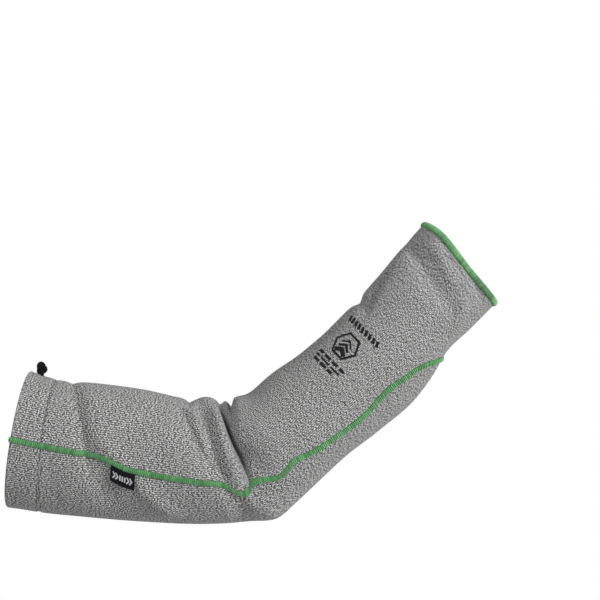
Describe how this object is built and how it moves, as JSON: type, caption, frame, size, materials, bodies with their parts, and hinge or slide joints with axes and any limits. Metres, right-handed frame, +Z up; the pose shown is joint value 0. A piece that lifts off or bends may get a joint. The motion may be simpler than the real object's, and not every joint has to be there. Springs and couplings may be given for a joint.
{
  "type": "cut resistant sleeve",
  "caption": "Knitted arm sleeve in its worn, bent form: grey melange knit, green gusset seam, green wrist binding, drawcord hem and black side label.",
  "frame": {"origin": "centre of the upper arm opening, in the plane of the hem edge", "axes": "+X from the upper arm opening towards the wrist, +Z up, -Y is the outer side with the side label"},
  "size_m": [0.4644, 0.0993, 0.2859],
  "materials": {
    "melange_knit": "salt and pepper grey knit with small stitches, matt and slightly hairy",
    "green_thread": "dense bright green overlock thread with a soft sheen",
    "black_weave": "fine black damask weave",
    "black_cord": "braided black elastic cord, matt"
  },
  "bodies": {
    "root": {"main_panel": "melange_knit", "elbow_gusset": "melange_knit", "hem_casing": "melange_knit", "gusset_seam": "green_thread", "wrist_binding": "green_thread", "side_label": "black_weave", "drawcord": "black_cord"}
  },
  "joints": []
}
